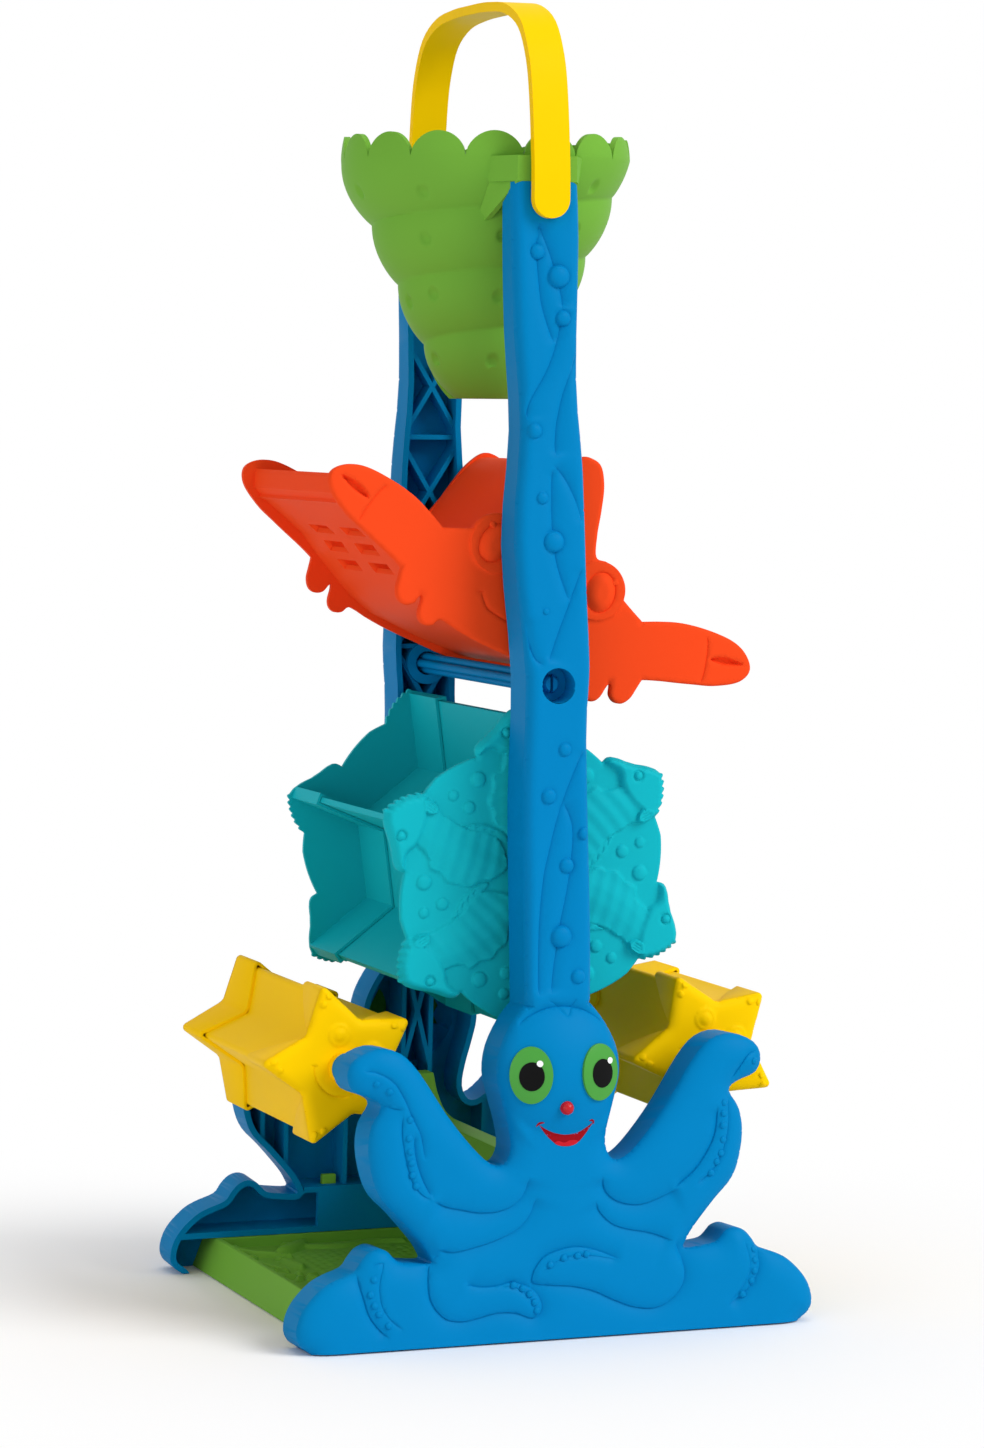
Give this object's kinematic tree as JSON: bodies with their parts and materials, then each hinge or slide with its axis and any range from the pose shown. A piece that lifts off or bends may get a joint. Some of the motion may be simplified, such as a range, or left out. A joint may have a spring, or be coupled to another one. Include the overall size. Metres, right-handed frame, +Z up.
{
  "type": "sand and water tower toy",
  "caption": "Sand and water tower: a shell-shaped funnel over a tipping crab tray, a paddle wheel and star wheels, in leaning sea-creature frames on a base tray, with a carrying handle.",
  "frame": {"origin": "on the floor, under the middle of the tower", "axes": "+X along the width of the creature frames, -Y out of the front frame's face, +Z up along the columns"},
  "size_m": [0.2291, 0.211, 0.55],
  "materials": {
    "blue": "satin moulded",
    "green": "satin moulded",
    "eye_green": "gloss",
    "red": "gloss",
    "yellow": "satin moulded",
    "orange": "satin moulded",
    "teal": "satin moulded"
  },
  "bodies": {
    "tower": {"front_frame": "blue", "rear_frame": "blue", "base_tray": "green", "crossbar": "blue", "funnel": "green", "front_eyes": "eye_green", "rear_eyes": "eye_green", "front_nose": "red", "rear_nose": "red"},
    "handle": {"handle": "yellow"},
    "crab": {"crab_trough": "orange", "crab_front_plate": "orange", "crab_rear_plate": "orange"},
    "sea_wheel": {"sea_wheel_front": "teal", "sea_wheel_rear": "teal"},
    "left_star": {"left_star_front": "yellow", "left_star_rear": "yellow"},
    "right_star": {"right_star_front": "yellow", "right_star_rear": "yellow"}
  },
  "joints": [
    {"name": "handle_swing", "type": "hinge", "parent": "tower", "child": "handle", "pos_m": [0, 0, 0.4659], "axis": [0, 1, 0], "range_deg": [-90, 90]},
    {"name": "crab_tip", "type": "hinge", "parent": "tower", "child": "crab", "pos_m": [0, 0, 0.301], "axis": [0, -1, 0], "range_deg": [0, 48]},
    {"name": "sea_wheel_spin", "type": "hinge", "parent": "tower", "child": "sea_wheel", "pos_m": [0, 0, 0.1864], "axis": [0, 1, 0], "continuous": true},
    {"name": "left_star_spin", "type": "hinge", "parent": "tower", "child": "left_star", "pos_m": [-0.0817, 0, 0.1103], "axis": [0, 1, 0], "continuous": true},
    {"name": "right_star_spin", "type": "hinge", "parent": "tower", "child": "right_star", "pos_m": [0.0817, 0, 0.1103], "axis": [0, 1, 0], "continuous": true}
  ]
}
